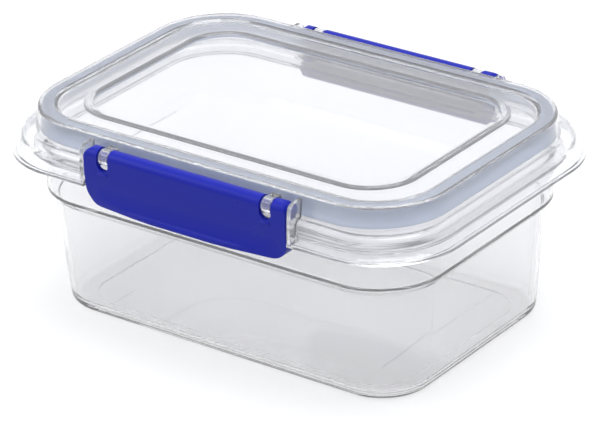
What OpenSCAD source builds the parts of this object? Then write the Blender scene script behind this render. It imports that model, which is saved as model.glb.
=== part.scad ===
// Snap lid food container: a clear drafted container, a clear lid with a
// gasket in its raised ring, and a swinging clip on each long side.
// Millimetres, +Z up. The origin is at the bottom centre of the container,
// +X runs along the long sides, and the front clip is on the -Y side.
//
// A profile is drawn as [offset, height]: the offset is measured outwards from
// a named outline, and the profile is then carried round that outline.

/* [Container] */
// Length over the rim
rim_l = 158.8; // [130:1:220]
// Width over the rim
rim_w = 106.8; // [90:1:160]
// Height of the rim above the table
rim_h = 71.3; // [50:1:120]
// Corner radius of the rim
rim_r = 23.4; // [18:0.5:27]
// Thickness of the walls
wall = 1.6; // [1.2:0.1:2.2]
// Thickness of the floor
floor_t = 2.0; // [1.4:0.1:3]
// Lean of the side walls, in degrees from upright
draft = 5.2; // [2:0.2:7]
// Rounding of the bottom edge, outside
foot_r = 3.3; // [1.5:0.1:5]
// Rounding between the walls and the floor, inside
inner_r = 3.0; // [1.5:0.1:5]
// Depth of the recess under the floor
recess_d = 0.8; // [0.3:0.1:1]
// Width of the foot ring that the container stands on
foot_w = 6.6; // [4:0.2:10]
// Corner radius of the recess under the floor
recess_r = 13.0; // [8:0.5:16]

/* [Collar] */
// Height of the collar, from the rim down to its lower step
collar_h = 27.3; // [22:0.5:34]
// Step from the side wall out to the collar
collar_step = 2.6; // [1:0.1:4]
// Height over which that step runs
step_h = 3.0; // [1.5:0.1:5]
// Distance that the collar stands outside the rim
collar_out = 1.0; // [0.6:0.1:1.4]
// Distance from the rim down to the top of the flange
flange_drop = 11.1; // [10.6:0.1:12]
// Distance that the flange stands outside the rim
flange_out = 4.6; // [3:0.1:4.8]
// Thickness of the flange
flange_t = 1.4; // [1:0.1:2]
// Distance that the catch under each clip stands outside the rim
catch_out = 7.0; // [6.6:0.1:7.2]
// Height of the outer face of the catch
catch_face = 1.6; // [1:0.1:2]
// Height of the sloped tooth of the catch
tooth_h = 2.4; // [1.6:0.1:3]
// Width of the flat under the tooth
tooth_flat = 1.4; // [0.8:0.1:2]
// Slope of the tooth, in degrees from level
tooth_slope = 58; // [54:1:64]

/* [Lid] */
// Thickness of the lid
lid_t = 1.4; // [1:0.1:1.6]
// Gap between the rim and the wall of the lid's ring
ring_gap = 1.55; // [1.4:0.05:2]
// Inside corner radius of the ring
ring_r = 25.95; // [22:0.5:27]
// Lean of the ring's outer wall, in degrees from upright
ring_draft = 8; // [2:0.5:10]
// Height of the ring above the shoulder
ring_h = 7.95; // [7:0.1:9]
// Width of the gasket groove inside the ring
groove_w = 4.65; // [4.2:0.05:5.4]
// Thickness of the plug wall inside the groove
plug_t = 1.3; // [1:0.1:1.8]
// Length of the plug wall below the groove
plug_h = 6.0; // [3:0.2:8]
// Step from the top of the ring down to the deck
deck_drop = 1.1; // [0.6:0.1:1.3]
// Inset of the bead from the rim at the short ends
bead_inset_l = 13.2; // [12:0.2:20]
// Inset of the bead from the rim at the long sides
bead_inset_w = 11.9; // [11:0.2:20]
// Corner radius of the bead
bead_r = 16.8; // [10:0.2:22]
// Width of the bead
bead_w = 3.4; // [2.4:0.1:4.4]
// Height of the bead above the deck
bead_h = 1.0; // [0.5:0.1:1.2]
// Depth of the centre panel below the deck
panel_drop = 0.6; // [0.3:0.1:0.8]

/* [Skirt] */
// Distance that the shoulder stands outside the rim
shoulder_out = 7.0; // [6.8:0.1:7.4]
// Rounding of the shoulder's top edge
shoulder_r = 3.0; // [2:0.1:3.2]
// Height of the upright face of the shoulder
shoulder_face = 0.9; // [0.5:0.1:1.6]
// Distance that the lip stands outside the shoulder
lip_out = 3.6; // [2.6:0.1:5]
// Height of the outer edge of the lip
lip_h = 1.0; // [0.7:0.1:1.4]
// Outside corner radius of the lip
lip_r = 30.0; // [26:0.5:34]

/* [Gasket] */
// Thickness of the gasket where the rim presses on it
seal_t = 1.8; // [1.4:0.1:2.4]
// Thickness of the gasket's outer flap
flap_t = 0.65; // [0.4:0.05:0.7]
// Length of the flap below the thick part
flap_h = 4.4; // [2:0.1:4.8]
// Clearance between the gasket and its groove
seal_clear = 0.25; // [0.15:0.05:0.3]
// Clearance between the gasket and the rim
rim_clear = 0.25; // [0.1:0.05:0.5]

/* [Clips] */
// Length of each clip
clip_l = 84; // [60:1:90]
// Thickness of the clip's plate
clip_t = 1.7; // [1.4:0.1:2]
// Radius of the roll along the clip's top
roll_r = 3.1; // [3:0.1:3.3]
// Distance from the top of the lid down to the top of the roll
roll_drop = 1.6; // [1:0.1:1.8]
// Gap between the roll and the wall of the ring
roll_gap = 0.6; // [0.4:0.1:0.8]
// Clearance between the clip's hook and the catch
catch_gap = 0.25; // [0.15:0.05:0.4]
// Length of the hook's sloped face, below the catch
hook_l = 5.0; // [4.4:0.1:5.6]
// Thickness of the clip's toe below the hook
toe_t = 1.1; // [0.8:0.1:1.6]
// Distance that the face leans in towards the toe
face_lean = 1.2; // [0.4:0.1:1.5]
// Distance that the finger grip stands outside the toe
grip_out = 3.3; // [2:0.1:4.5]
// Height of the finger grip above the toe
grip_h = 7.6; // [5:0.1:9]
// Thickness of the grip's outer edge
grip_t = 1.3; // [1:0.1:2]
// Distance that the grip hangs below the toe
grip_drop = 0.5; // [0.2:0.1:1]
// Rounding of the clip's lower corners
clip_low_r = 6.0; // [3:0.5:8]
// Rounding of the clip's upper corners
clip_top_r = 3.6; // [2:0.2:5]

/* [Hinges] */
// Radius of the pins inside the roll
pin_r = 1.6; // [1.4:0.1:1.7]
// Radial clearance between a pin and its eye
pin_clear = 0.05; // [0.02:0.01:0.09]
// Thickness of the eye's wall
eye_t = 1.15; // [0.9:0.05:1.2]
// Width of each eye
eye_w = 3.6; // [2.4:0.1:4.2]
// Clearance on each side of an eye
eye_side = 0.6; // [0.3:0.1:1]
// Distance from the end of the clip to the middle of its eye
eye_inset = 8.0; // [7:0.5:14]
// Opening under the eye that the pin snaps in through, in degrees
eye_open = 84; // [60:2:96]
// Distance from the hinge axis down to the bottom of each slot
slot_drop = 4.1; // [3.8:0.1:5]
// Distance from the bottom of each slot down to its ridge
ridge_drop = 1.1; // [0.9:0.1:2]
// Radius of the ridge
ridge_r = 0.5; // [0.3:0.1:0.8]
// Clearance between the ends of a clip and the lid's cheeks
cheek_clear = 0.6; // [0.4:0.1:1.2]
// Thickness of the cheeks
cheek_t = 1.5; // [1:0.1:2.2]

/* [Hidden] */
$fn = 96;
arc_steps = 8;
bite = 0.5;

// Heights, from the table up
collar_z = rim_h - collar_h;
flange_top = rim_h - flange_drop;
flange_low = flange_top - flange_t;
seal_low = rim_h + rim_clear;
seal_top = seal_low + seal_t;
groove_top = seal_top + seal_clear;
lid_top = groove_top + lid_t;
deck_z = lid_top - deck_drop;
shoulder_z = lid_top - ring_h;
shoulder_low = shoulder_z - lid_t;
round_z = shoulder_z - shoulder_r;
flare_z = round_z - shoulder_face;
lip_edge = 0.1;
lip_z = flare_z - lip_out - lip_h + lip_edge;

// Half width of each outline on a long side
rim_y = rim_w / 2;
ring_y = rim_y + ring_gap;
shoulder_y = rim_y + shoulder_out;
lip_y = shoulder_y + lip_out;

// Hinge axis of a clip, as [distance from the middle, height]
axis_z = lid_top - roll_drop - roll_r;
axis_y = ring_y + ring_wall(axis_z) + lid_t + roll_gap + roll_r;

// Points of the catch and of the hook that holds under it
slope_dir = [-cos(tooth_slope), -sin(tooth_slope)];
slope_out = [sin(tooth_slope), -cos(tooth_slope)];
catch_a = [rim_y + catch_out, flange_top - catch_face];
catch_b = catch_a + slope_dir * tooth_h / sin(tooth_slope);
hook_a = catch_a + slope_out * catch_gap;
hook_tip = hook_a + slope_dir * hook_l;
toe_z = hook_tip.y - toe_t;
face_y = axis_y + roll_r;
back_y = face_y - clip_t;
toe_y = face_y - face_lean;
eye_x = clip_l / 2 - eye_inset;
eye_r = pin_r + pin_clear + eye_t;
slot_w = eye_w + 2 * eye_side;

// Points of an arc about a centre, from angle a0 to angle a1
function arc(centre, r, a0, a1, steps = arc_steps) =
    [for (i = [0:steps]) let (a = a0 + (a1 - a0) * i / steps) centre + r * [cos(a), sin(a)]];

// Offset of the side wall's outer face from the rim, at height z
function side_wall(z) =
    collar_out - collar_step - tan(draft) * (collar_z - step_h - z);

// Offset of the ring wall's inner face from the ring outline, at height z
function ring_wall(z) = tan(ring_draft) * (groove_top - z);

// Carries a section round a rounded rectangle l x w with corners of radius r
module sweep(l, w, r, section) {
    half = [l / 2 - r, w / 2 - r];
    points = [for (p = section) p + [r, 0]];
    for (side = [0:3]) {
        out = side % 2 == 0 ? half.x : half.y;
        run = side % 2 == 0 ? half.y : half.x;
        rotate(90 * side) translate([out, run, 0]) {
            rotate_extrude(angle = 90) polygon(points);
            rotate([90, 0, 0]) linear_extrude(2 * run) polygon(points);
        }
    }
}

// A flat plate with the outline of a rounded rectangle, from z0 up to z1
module plate(l, w, r, z0, z1) {
    sweep(l, w, r, [[-r, z0], [0, z0], [0, z1], [-r, z1]]);
    translate([r - l / 2, r - w / 2, z0]) cube([l - 2 * r, w - 2 * r, z1 - z0]);
}

// A profile drawn as [distance from the middle, height], run along X
module rail(x0, x1) {
    translate([x0, 0, 0]) rotate([90, 0, 90]) linear_extrude(x1 - x0) children();
}

// Half turn about Z for the far side
module both_sides() {
    for (turn = [0, 180]) rotate(turn) children();
}

// Section of the container, as offsets from the rim
function base_section() =
    let (side_top = collar_z - step_h,
         wall_in = wall / cos(draft),
         foot_c = [side_wall(foot_r) - foot_r / cos(draft), foot_r],
         inner_z = floor_t + inner_r,
         inner_c = [side_wall(inner_z) - wall_in - inner_r / cos(draft), inner_z],
         shift = wall / 2)
    concat(
        [[-rim_r, 0]],
        arc(foot_c, foot_r, -90, -draft),
        [[side_wall(side_top), side_top], [collar_out, collar_z], [collar_out, flange_low]],
        arc([flange_out - flange_t / 2, flange_low + flange_t / 2], flange_t / 2, -90, 90),
        [[0, flange_top]],
        arc([-wall / 2, rim_h - wall / 2], wall / 2, 0, 180),
        [[-wall, flange_top], [collar_out - wall, flange_low - shift]],
        [[collar_out - wall, collar_z + shift], [side_wall(side_top) - wall_in, side_top + shift]],
        arc(inner_c, inner_r, -draft, -90),
        [[-rim_r, floor_t]]
    );

// Section of the catch on a long side
module catch_profile() {
    root_y = rim_y + collar_out + bite;
    polygon([
        [root_y, flange_low], [root_y, flange_top], [catch_a.x, flange_top], catch_a,
        catch_b, catch_b - [tooth_flat, 0], [catch_b.x - tooth_flat, flange_low]
    ]);
}

module base() {
    recess_l = rim_l + 2 * (side_wall(0) - foot_r - foot_w + foot_r / 2);
    recess_w = recess_l - rim_l + rim_w;
    catch_l = clip_l - 2 * clip_low_r;
    color([0.90, 0.92, 0.95, 0.35])
    difference() {
        union() {
            sweep(rim_l, rim_w, rim_r, base_section());
            translate([rim_r - rim_l / 2, rim_r - rim_w / 2, 0])
                cube([rim_l - 2 * rim_r, rim_w - 2 * rim_r, floor_t]);
            both_sides() rail(-catch_l / 2, catch_l / 2) catch_profile();
        }
        plate(recess_l, recess_w, recess_r, -1, recess_d);
    }
}

// Section of the lid's ring, plug wall and deck, as offsets from the ring's inside
function ring_section() =
    let (plug_y = -groove_w, plug_in = plug_y - plug_t)
    concat(
        [[ring_wall(shoulder_low), shoulder_low], [ring_wall(shoulder_low) + lid_t, shoulder_low]],
        arc([0, groove_top], lid_t, 0, 90),
        [[plug_y + 0.2, lid_top], [plug_y + 0.2 - deck_drop, deck_z]],
        [[-ring_r, deck_z], [-ring_r, deck_z - lid_t], [plug_in, deck_z - lid_t]],
        [[plug_in, groove_top - plug_h], [plug_y, groove_top - plug_h]],
        [[plug_y, groove_top], [0, groove_top]]
    );

// Section of the lid's shoulder and flared lip, as offsets from the lip
function skirt_section() =
    let (flare_c = [-lip_edge, flare_z],
         flare_r = lip_out - lip_edge,
         round_c = [-lip_out - shoulder_r, round_z],
         inner_flare = flare_r + lid_t,
         root = -lip_out - shoulder_out + ring_gap + ring_wall(shoulder_z) + lid_t / 2)
    concat(
        [[0, lip_z], [0, lip_z + lip_h]],
        arc(flare_c, flare_r, 270, 180),
        arc(round_c, shoulder_r, 0, 90),
        [[root, shoulder_z], [root, shoulder_low]],
        arc(round_c, shoulder_r - lid_t, 90, 0),
        arc(flare_c, inner_flare, 180, 180 + asin((flare_z - lip_z) / inner_flare))
    );

// Flat of the shoulder, which fills the corners between the ring and the skirt
module shoulder_plate() {
    grow = 2 * (shoulder_out - shoulder_r - 0.2);
    hole = 2 * (ring_gap + ring_wall(shoulder_z) + lid_t / 2);
    radius = lip_r - lip_out - shoulder_r - 0.2;
    difference() {
        plate(rim_l + grow, rim_w + grow, radius, shoulder_low, shoulder_z);
        plate(rim_l + hole, rim_w + hole, ring_r + hole / 2 - ring_gap,
              shoulder_low - 1, shoulder_z + 1);
    }
}

// The raised bead on the deck, with a half ellipse on top
module bead() {
    low = deck_z - lid_t / 2;
    crown = [for (i = [0:2 * arc_steps]) let (a = 90 * i / arc_steps)
        [bead_w / 2 * cos(a), deck_z + bead_h * sin(a)]];
    sweep(rim_l - 2 * bead_inset_l, rim_w - 2 * bead_inset_w, bead_r,
          concat([[-bead_w / 2, low], [bead_w / 2, low]], crown));
}

// Outline just inside the bead, where the centre panel is
module panel(inset, z0, z1) {
    shrink = bead_w + 2 * inset;
    plate(rim_l - 2 * bead_inset_l - shrink, rim_w - 2 * bead_inset_w - shrink,
          bead_r - shrink / 2, z0, z1);
}

// Eye that hooks over a clip's pin and is open below, with the arm that carries it
module eye_profile() {
    root_y = ring_y + ring_wall(axis_z) + lid_t - bite;
    arm_low = axis_z - pin_r;
    arm_top = axis_z + eye_r - 0.3;
    reach = 2 * eye_r;
    half_open = eye_open / 2;
    difference() {
        union() {
            translate([axis_y, axis_z]) circle(r = eye_r);
            translate([root_y, arm_low]) square([axis_y - pin_r / 2 - root_y, arm_top - arm_low]);
        }
        translate([axis_y, axis_z]) circle(r = pin_r + pin_clear);
        translate([axis_y, axis_z])
            polygon([
                [0, 0], reach * [sin(half_open), -cos(half_open)],
                reach * [0, -1.2], reach * [-sin(half_open), -cos(half_open)]
            ]);
    }
}

// Cheek that closes the skirt beside a clip
module cheek_profile() {
    root_y = ring_y + ring_wall(shoulder_z) + bite;
    top_z = lid_top - roll_drop;
    polygon(concat(
        [[root_y, shoulder_low], [shoulder_y - lid_t, shoulder_low]],
        [[shoulder_y - lid_t, lip_z], [lip_y - bite, lip_z]],
        [[lip_y - bite, flare_z]],
        arc([axis_y - 0.6, axis_z], roll_r, 0, 90),
        [[root_y - bite, top_z]]
    ));
}

// Section of the pocket cut out of the skirt behind a clip
module pocket_profile() {
    wall_y = shoulder_y - lid_t;
    low_z = flange_top + 0.6;
    far = [lip_y + 1, shoulder_z + 1];
    polygon([
        [wall_y - 1, lip_z - 1], [far.x, lip_z - 1], far, [shoulder_y - 0.2, far.y],
        [shoulder_y - 0.2, low_z], [wall_y - 1, low_z]
    ]);
}

module lid() {
    pocket_l = clip_l + 2 * cheek_clear;
    color([0.90, 0.92, 0.95, 0.35])
    difference() {
        union() {
            sweep(rim_l + 2 * ring_gap, rim_w + 2 * ring_gap, ring_r, ring_section());
            translate([ring_r - ring_gap - rim_l / 2, ring_r - ring_gap - rim_w / 2, deck_z - lid_t])
                cube([rim_l + 2 * (ring_gap - ring_r), rim_w + 2 * (ring_gap - ring_r), lid_t]);
            difference() {
                sweep(rim_l + 2 * (shoulder_out + lip_out), 2 * lip_y, lip_r, skirt_section());
                both_sides() rail(-pocket_l / 2, pocket_l / 2) pocket_profile();
            }
            shoulder_plate();
            bead();
            panel(-bite, deck_z - lid_t - panel_drop, deck_z - panel_drop);
            both_sides() for (side = [-1, 1]) {
                rail(side * eye_x - eye_w / 2, side * eye_x + eye_w / 2) eye_profile();
                rail(side * (pocket_l + cheek_t) / 2 - cheek_t / 2,
                     side * (pocket_l + cheek_t) / 2 + cheek_t / 2) cheek_profile();
            }
        }
        panel(0, deck_z - panel_drop, lid_top + 1);
    }
}

// The gasket: a flat band above the rim, with a thin flap outside it
module seal() {
    flap_low = seal_low - flap_h;
    color([0.62, 0.76, 0.93, 0.7])
    sweep(rim_l + 2 * ring_gap, rim_w + 2 * ring_gap, ring_r, [
        [seal_clear - groove_w, seal_low],
        [ring_wall(seal_low) - seal_clear - flap_t, seal_low],
        [ring_wall(flap_low) - seal_clear - flap_t, flap_low],
        [ring_wall(flap_low) - seal_clear, flap_low],
        [ring_wall(seal_top) - seal_clear, seal_top],
        [seal_clear - groove_w, seal_top]
    ]);
}

// Section of a clip's plate and hook
module clip_profile() {
    knee = hook_a + slope_dir * (hook_a.x - back_y) / cos(tooth_slope);
    translate([axis_y, axis_z]) circle(r = roll_r);
    polygon([
        [back_y, axis_z], [back_y, knee.y], hook_tip,
        hook_tip + [0.3, -toe_t / 2], hook_tip + [1.4, -toe_t],
        [toe_y, toe_z], [face_y - face_lean * 0.25, toe_z + grip_h], [face_y, axis_z - 2 * roll_r],
        [face_y, axis_z]
    ]);
}

// Section of the finger grip, before its ends are cut to a curve
module grip_profile() {
    edge_y = toe_y + grip_out;
    low_z = toe_z - grip_drop;
    sweep_r = grip_h - grip_t;
    polygon(concat(
        [[toe_y - 0.4, toe_z + grip_h], [toe_y - 0.4, low_z + 0.3], [toe_y, low_z]],
        [[edge_y - 0.3, low_z], [edge_y, low_z + 0.4], [edge_y, low_z + grip_t - 0.3]],
        [for (i = [0:arc_steps]) let (a = 90 * i / arc_steps)
            [edge_y - 0.3 - (edge_y - 0.3 - face_y + face_lean * 0.3) * sin(a),
             low_z + grip_t + sweep_r * (1 - cos(a))]]
    ));
}

// One clip, on the +Y side
module clip() {
    bow_r = (pow(clip_l / 2, 2) + pow(grip_out, 2)) / (2 * grip_out);
    tall = axis_z + roll_r;
    color([0.07, 0.10, 0.62]) {
        difference() {
            intersection() {
                union() {
                    rail(-clip_l / 2, clip_l / 2) clip_profile();
                    intersection() {
                        rail(-clip_l / 2, clip_l / 2) grip_profile();
                        translate([0, toe_y + grip_out - bow_r, 0])
                            cylinder(r = bow_r, h = tall, $fn = 720);
                    }
                }
                clip_outline();
            }
            for (side = [-1, 1]) translate([side * eye_x, 0, 0]) slot();
        }
        for (side = [-1, 1]) translate([side * eye_x - slot_w / 2, 0, 0]) {
            translate([-bite, axis_y, axis_z])
                rotate([0, 90, 0]) cylinder(r = pin_r, h = slot_w + 2 * bite);
            translate([ridge_r, face_y - ridge_r / 3, axis_z - slot_drop - ridge_drop])
                rotate([0, 90, 0]) cylinder(r = ridge_r, h = slot_w - 2 * ridge_r);
        }
    }
}

// Front view of a clip, with its rounded corners, cut through in Y
module clip_outline() {
    x = clip_l / 2;
    z0 = toe_z - grip_drop;
    z1 = axis_z + roll_r;
    low = clip_low_r;
    top = clip_top_r;
    translate([0, axis_y + 4 * roll_r, 0]) rotate([90, 0, 0]) linear_extrude(8 * roll_r)
        polygon(concat(
            arc([low - x, z0 + low], low, 180, 270), arc([x - low, z0 + low], low, 270, 360),
            arc([x - top, z1 - top], top, 0, 90), arc([top - x, z1 - top], top, 90, 180)
        ));
}

// Opening in a clip round one eye of the lid
module slot() {
    low = axis_z - slot_drop + slot_w / 2;
    translate([-slot_w / 2, axis_y - 2 * roll_r, low])
        cube([slot_w, 4 * roll_r, 3 * roll_r]);
    translate([0, axis_y + 2 * roll_r, low])
        rotate([90, 0, 0]) cylinder(r = slot_w / 2, h = 4 * roll_r);
}

module front_clip() {
    rotate(180) clip();
}

module back_clip() {
    clip();
}

base();
lid();
seal();
front_clip();
back_clip();
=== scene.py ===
# %% [markdown]
# # Snap lid food container
#
# A clear plastic box, a clear lid with a soft blue gasket in its raised ring,
# and two glossy blue clips that swing down over a catch. The solid parts come
# from the CAD model at their real size. This script gives them their finish,
# rounds the edges of the gasket and of the clips, and sets up a small white
# studio to look at them in.

# %% Load the fixed parts
import math

import bmesh
import bpy
from mathutils import Matrix, Vector


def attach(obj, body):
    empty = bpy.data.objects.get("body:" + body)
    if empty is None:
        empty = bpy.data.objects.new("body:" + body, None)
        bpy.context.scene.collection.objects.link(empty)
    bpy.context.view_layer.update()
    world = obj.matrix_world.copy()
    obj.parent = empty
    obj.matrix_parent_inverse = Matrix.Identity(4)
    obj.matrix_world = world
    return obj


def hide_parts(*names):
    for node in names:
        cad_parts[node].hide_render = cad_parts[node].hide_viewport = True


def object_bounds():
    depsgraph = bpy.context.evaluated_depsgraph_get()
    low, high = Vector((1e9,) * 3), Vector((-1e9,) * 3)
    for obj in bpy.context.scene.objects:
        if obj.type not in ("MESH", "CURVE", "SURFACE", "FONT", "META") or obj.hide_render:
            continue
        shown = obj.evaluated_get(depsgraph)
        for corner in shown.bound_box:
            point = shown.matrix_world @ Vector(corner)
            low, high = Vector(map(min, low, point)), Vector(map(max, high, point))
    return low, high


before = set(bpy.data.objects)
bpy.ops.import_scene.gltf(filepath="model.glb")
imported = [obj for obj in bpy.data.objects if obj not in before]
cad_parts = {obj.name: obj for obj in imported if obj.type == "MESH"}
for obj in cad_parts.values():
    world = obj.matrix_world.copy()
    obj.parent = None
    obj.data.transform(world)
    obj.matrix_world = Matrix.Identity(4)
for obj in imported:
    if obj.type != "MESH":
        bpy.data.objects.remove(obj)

cad_low, cad_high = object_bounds()
size = cad_high - cad_low
centre = (cad_low + cad_high) / 2
scene = bpy.context.scene
print("parts:", sorted(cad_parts))
print("length, width, height in mm:", [round(1000 * s, 1) for s in size])

# %% [markdown]
# ## The camera
#
# A camera is easiest to place by what it looks at: a target point, a turn
# round it, a height angle and a distance. A long lens from over a metre away
# keeps the edges of the box nearly parallel, as in a catalogue picture.

# %% Camera
MM = 0.001
CAMERA_TURN = math.radians(37.21)
CAMERA_HEIGHT = math.radians(25.79)
CAMERA_DISTANCE = 1.2862
CAMERA_ROLL = math.radians(-2.0)
CAMERA_TARGET = Vector((3.49, -4.32, 37.19)) * MM
CAMERA_LENS = 224.3


def make_camera():
    """A camera round the target, turned from the front towards the right."""
    back = Vector((
        math.sin(CAMERA_TURN) * math.cos(CAMERA_HEIGHT),
        -math.cos(CAMERA_TURN) * math.cos(CAMERA_HEIGHT),
        math.sin(CAMERA_HEIGHT),
    ))
    data = bpy.data.cameras.new("studio_camera")
    data.lens = CAMERA_LENS
    data.sensor_width = 36.0
    data.clip_start, data.clip_end = 0.01, 20.0
    camera = bpy.data.objects.new("studio_camera", data)
    scene.collection.objects.link(camera)
    turn = (-back).to_track_quat("-Z", "Y").to_matrix().to_4x4()
    camera.matrix_world = (
        Matrix.Translation(CAMERA_TARGET + back * CAMERA_DISTANCE)
        @ turn @ Matrix.Rotation(CAMERA_ROLL, 4, "Z")
    )
    return camera


scene.camera = make_camera()
print("camera at", [round(c, 3) for c in scene.camera.location])

# %% [markdown]
# ## Node helpers
#
# A material is a small graph. Two helpers keep each one short: one starts a
# graph with its Principled shader, and one adds a node and fills its inputs.

# %% Helpers for shader graphs


def start_material(name, **settings):
    """A new material, its node tree and its Principled shader with constant settings."""
    material = bpy.data.materials.new(name)
    material.use_nodes = True
    tree = material.node_tree
    shader = tree.nodes["Principled BSDF"]
    for key, value in settings.items():
        shader.inputs[key.replace("_", " ")].default_value = value
    return material, tree, shader


def add_node(tree, kind, inputs=None, **fields):
    """A node of that kind with its fields set, and its inputs filled or linked."""
    node = tree.nodes.new(kind)
    for key, value in fields.items():
        setattr(node, key, value)
    for key, value in (inputs or {}).items():
        if isinstance(value, bpy.types.NodeSocket):
            tree.links.new(value, node.inputs[key])
        else:
            node.inputs[key].default_value = value
    return node


def object_noise(tree, scale, detail=2.0, stretch=(1.0, 1.0, 1.0)):
    """Noise that sits still on the piece, in cycles per metre, stretched along an axis."""
    place = add_node(tree, "ShaderNodeTexCoord").outputs["Object"]
    mapped = add_node(tree, "ShaderNodeMapping", {"Vector": place, "Scale": stretch})
    noise = add_node(tree, "ShaderNodeTexNoise", {
        "Vector": mapped.outputs["Vector"], "Scale": scale, "Detail": detail,
    })
    return noise.outputs["Fac"]


def remap(tree, value, low, high):
    """Spreads a 0 to 1 value over low to high."""
    node = add_node(tree, "ShaderNodeMapRange", {
        "Value": value, "To Min": low, "To Max": high,
    })
    return node.outputs["Result"]


def add_bump(tree, height, strength, distance):
    """A bump from a height value, with its distance in metres."""
    node = add_node(tree, "ShaderNodeBump", {
        "Height": height, "Strength": strength, "Distance": distance,
    })
    return node.outputs["Normal"]


# %% [markdown]
# ## Clear plastic
#
# Moulded clear plastic bends light like glass but a little less, and it is
# never quite optical: it has a faint haze, and slow waves where the melt
# flowed. Most of the look comes from its real wall thickness, so the shader
# only needs full transmission, the right index, a breath of haze and a very
# low bump.

# %% Clear plastic


def clear_plastic(name, tint, haze):
    """Clear moulded plastic with slow flow waves and a slightly uneven polish."""
    material, tree, shader = start_material(
        name, Base_Color=(*tint, 1.0), IOR=1.49, Transmission_Weight=1.0 - haze)
    flow = object_noise(tree, 14.0, detail=1.0, stretch=(1.0, 1.6, 2.5))
    polish = object_noise(tree, 160.0, detail=4.0)
    tree.links.new(remap(tree, polish, 0.015, 0.05), shader.inputs["Roughness"])
    tree.links.new(add_bump(tree, flow, 0.12, 2 * MM), shader.inputs["Normal"])
    return material


base_plastic = clear_plastic("clear_base_plastic", (0.975, 0.975, 0.985), 0.09)
lid_plastic = clear_plastic("clear_lid_plastic", (0.97, 0.975, 0.99), 0.10)
print("clear plastics:", base_plastic.name, lid_plastic.name)

# %% [markdown]
# ## Blue clip plastic
#
# The clips are opaque and glossy. Their moulds are lightly textured, which
# spreads the highlight along the rolled top into a soft band.

# %% Clip plastic


def clip_plastic():
    """Glossy blue plastic with a fine moulded grain."""
    material, tree, shader = start_material(
        "blue_clip_plastic", Base_Color=(0.007, 0.014, 0.34, 1.0), IOR=1.5,
        Specular_IOR_Level=0.2)
    grain = object_noise(tree, 2600.0, detail=3.0)
    wear = object_noise(tree, 90.0, detail=3.0)
    tree.links.new(remap(tree, wear, 0.24, 0.36), shader.inputs["Roughness"])
    tree.links.new(add_bump(tree, grain, 0.15, 0.05 * MM), shader.inputs["Normal"])
    return material


blue_plastic = clip_plastic()

# %% [markdown]
# ## Silicone
#
# The gasket is translucent silicone with a pale blue tint. Light enters it and
# comes out blurred. That could be made with scattering inside the material, but
# the gasket is thin, so a rough transmission gives the same look in less time.

# %% Silicone


def silicone():
    """Soft translucent silicone, with a dusty, uneven surface."""
    material, tree, shader = start_material(
        "blue_silicone", Base_Color=(0.66, 0.76, 0.95, 1.0), IOR=1.41,
        Transmission_Weight=0.88)
    dust = object_noise(tree, 300.0, detail=4.0)
    tree.links.new(remap(tree, dust, 0.25, 0.4), shader.inputs["Roughness"])
    tree.links.new(add_bump(tree, dust, 0.2, 0.05 * MM), shader.inputs["Normal"])
    return material


gasket_silicone = silicone()

# %% [markdown]
# ## Give each part its finish
#
# Every part already has a material slot with a plain stand-in material. Only
# the material in the slot is changed, so the shape of the part stays as it is.

# %% Finishes on the CAD parts
finishes = {
    "base": base_plastic,
    "lid": lid_plastic,
    "seal": gasket_silicone,
    "front_clip": blue_plastic,
    "back_clip": blue_plastic,
}
for name, material in finishes.items():
    for part_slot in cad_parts[name].material_slots:
        part_slot.material = material
    print(name, "is", material.name)

# %% [markdown]
# ## Soft edges on the gasket and the clips
#
# A silicone gasket has no hard corner anywhere, and the clips come out of
# their mould with small rounded edges that catch the light. Each is made from
# its own CAD mesh, so that its place and size stay true: the mesh is merged,
# its flat faces are joined up, and a narrow bevel rounds what is left.

# %% Softened gasket and clips
MERGE_WITHIN = 0.005 * MM
FLAT_WITHIN = math.radians(2)
SHARP_FROM = math.radians(35)
GASKET_EDGE = 0.2 * MM
CLIP_EDGE = 0.15 * MM


def soft_copy(node, name, body, round_edge, material):
    """A copy of a CAD part with its edges rounded, which stands in for the part."""
    mesh = bpy.data.meshes.new(name)
    work = bmesh.new()
    work.from_mesh(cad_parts[node].data)
    bmesh.ops.remove_doubles(work, verts=work.verts, dist=MERGE_WITHIN)
    bmesh.ops.dissolve_limit(
        work, angle_limit=FLAT_WITHIN, verts=work.verts, edges=work.edges)
    sharp = [e for e in work.edges
             if len(e.link_faces) == 2 and e.calc_face_angle() > SHARP_FROM]
    bmesh.ops.bevel(work, geom=sharp, offset=round_edge, segments=2, profile=0.5,
                    affect="EDGES", clamp_overlap=True)
    for face in work.faces:
        face.smooth = True
        face.material_index = 0
    work.to_mesh(mesh)
    work.free()
    mesh.materials.append(material)
    piece = bpy.data.objects.new(name, mesh)
    scene.collection.objects.link(piece)
    weighted = piece.modifiers.new("even_shading", "WEIGHTED_NORMAL")
    weighted.keep_sharp = True
    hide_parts(node)
    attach(piece, body)
    print(name, len(mesh.vertices), "points")
    return piece


soft_copy("seal", "soft_gasket", "lid", GASKET_EDGE, gasket_silicone)
for side in ("front", "back"):
    soft_copy(f"{side}_clip", f"soft_{side}_clip", f"{side}_clip",
              CLIP_EDGE, blue_plastic)

# %% [markdown]
# ## The studio
#
# A clear object shows what is around it, so the room matters more than the
# lamps. The floor is white to the eye, but only part of that is light that it
# reflects, so the shadow stays pale.

# %% Floor
FLOOR_SIDE = 6.0
FLOOR_GLOW = 0.62
FLOOR_COLOUR = (0.40, 0.40, 0.40, 1.0)


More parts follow.
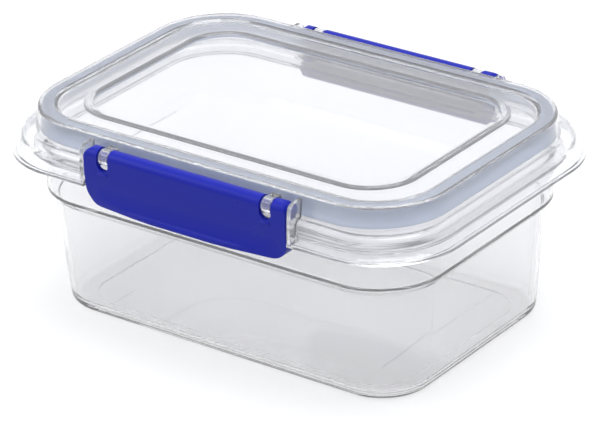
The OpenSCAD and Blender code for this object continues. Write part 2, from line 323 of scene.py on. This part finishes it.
def white_floor():
    """A floor that glows a little for the eye, and reflects the rest."""
    material = bpy.data.materials.new("white_floor")
    material.use_nodes = True
    tree = material.node_tree
    tree.nodes.clear()
    path = add_node(tree, "ShaderNodeLightPath").outputs
    seen = add_node(tree, "ShaderNodeMath", {
        0: path["Is Camera Ray"], 1: path["Is Transmission Ray"]}, operation="MAXIMUM")
    seen = add_node(tree, "ShaderNodeMath", {
        0: seen.outputs[0], 1: path["Is Glossy Ray"]}, operation="MAXIMUM")
    glow = add_node(tree, "ShaderNodeMath", {
        0: seen.outputs[0], 1: FLOOR_GLOW}, operation="MULTIPLY")
    emission = add_node(tree, "ShaderNodeEmission", {"Strength": glow.outputs[0]})
    diffuse = add_node(tree, "ShaderNodeBsdfDiffuse", {"Color": FLOOR_COLOUR})
    both = add_node(tree, "ShaderNodeAddShader", {
        0: emission.outputs[0], 1: diffuse.outputs[0]})
    add_node(tree, "ShaderNodeOutputMaterial", {"Surface": both.outputs[0]})
    return material


def make_floor():
    """A large flat floor just under the foot ring."""
    mesh = bpy.data.meshes.new("floor")
    half, z = FLOOR_SIDE / 2, cad_low.z - 0.05 * MM
    mesh.from_pydata(
        [(-half, -half, z), (half, -half, z), (half, half, z), (-half, half, z)],
        [], [(0, 1, 2, 3)])
    mesh.materials.append(white_floor())
    floor = bpy.data.objects.new("floor", mesh)
    scene.collection.objects.link(floor)
    return floor


make_floor()

# %% [markdown]
# ## The room
#
# The world is plain white behind the object. Its reflections see a gradient
# instead, a little greyer at the horizon than above, which draws thin grey
# lines at the edges of the clear parts. A picture of a room would do the same,
# but a gradient stays smooth and needs no file.

# %% World


def make_world():
    """White behind the object, and a soft grey to white room for its reflections."""
    world = bpy.data.worlds.new("studio")
    scene.world = world
    world.use_nodes = True
    tree = world.node_tree
    tree.nodes.clear()
    way = add_node(tree, "ShaderNodeTexCoord").outputs["Generated"]
    height = add_node(tree, "ShaderNodeSeparateXYZ", {"Vector": way}).outputs["Z"]
    room = add_node(tree, "ShaderNodeValToRGB", {"Fac": height})
    ramp = room.color_ramp
    ramp.elements[0].position, ramp.elements[0].color = 0.0, (0.70, 0.71, 0.75, 1.0)
    ramp.elements[1].position, ramp.elements[1].color = 0.7, (0.95, 0.96, 1.0, 1.0)
    path = add_node(tree, "ShaderNodeLightPath").outputs
    mix = add_node(tree, "ShaderNodeMix", {
        "Factor": path["Is Camera Ray"], 6: room.outputs["Color"], 7: (1, 1, 1, 1)},
        data_type="RGBA")
    background = add_node(tree, "ShaderNodeBackground", {"Color": mix.outputs[2]})
    add_node(tree, "ShaderNodeOutputWorld", {"Surface": background.outputs[0]})


make_world()

# %% [markdown]
# ## The lamps
#
# Two large soft lamps light the object, one above and a weaker one at the left
# front. A large lamp close by gives soft shadows and a broad highlight along
# the rolled top of each clip.

# %% Lamps


def soft_box(name, place, width, height, power):
    """A rectangular lamp that looks at the object."""
    data = bpy.data.lights.new(name, "AREA")
    data.shape = "RECTANGLE"
    data.size, data.size_y = width, height
    data.energy = power
    lamp = bpy.data.objects.new(name, data)
    scene.collection.objects.link(lamp)
    spot = Vector(place)
    lamp.matrix_world = (
        Matrix.Translation(spot) @ (centre - spot).to_track_quat("-Z", "Y").to_matrix().to_4x4())
    return lamp


soft_box("top_box", (0.1, 0.15, 1.2), 1.1, 0.8, 9.0)
soft_box("left_box", (-1.0, -0.7, 0.7), 0.6, 0.8, 3.0)

# %% [markdown]
# ## Finish
#
# Standard view transform keeps the colours as they are written.

# %% Finish
scene.view_settings.view_transform = "Standard"
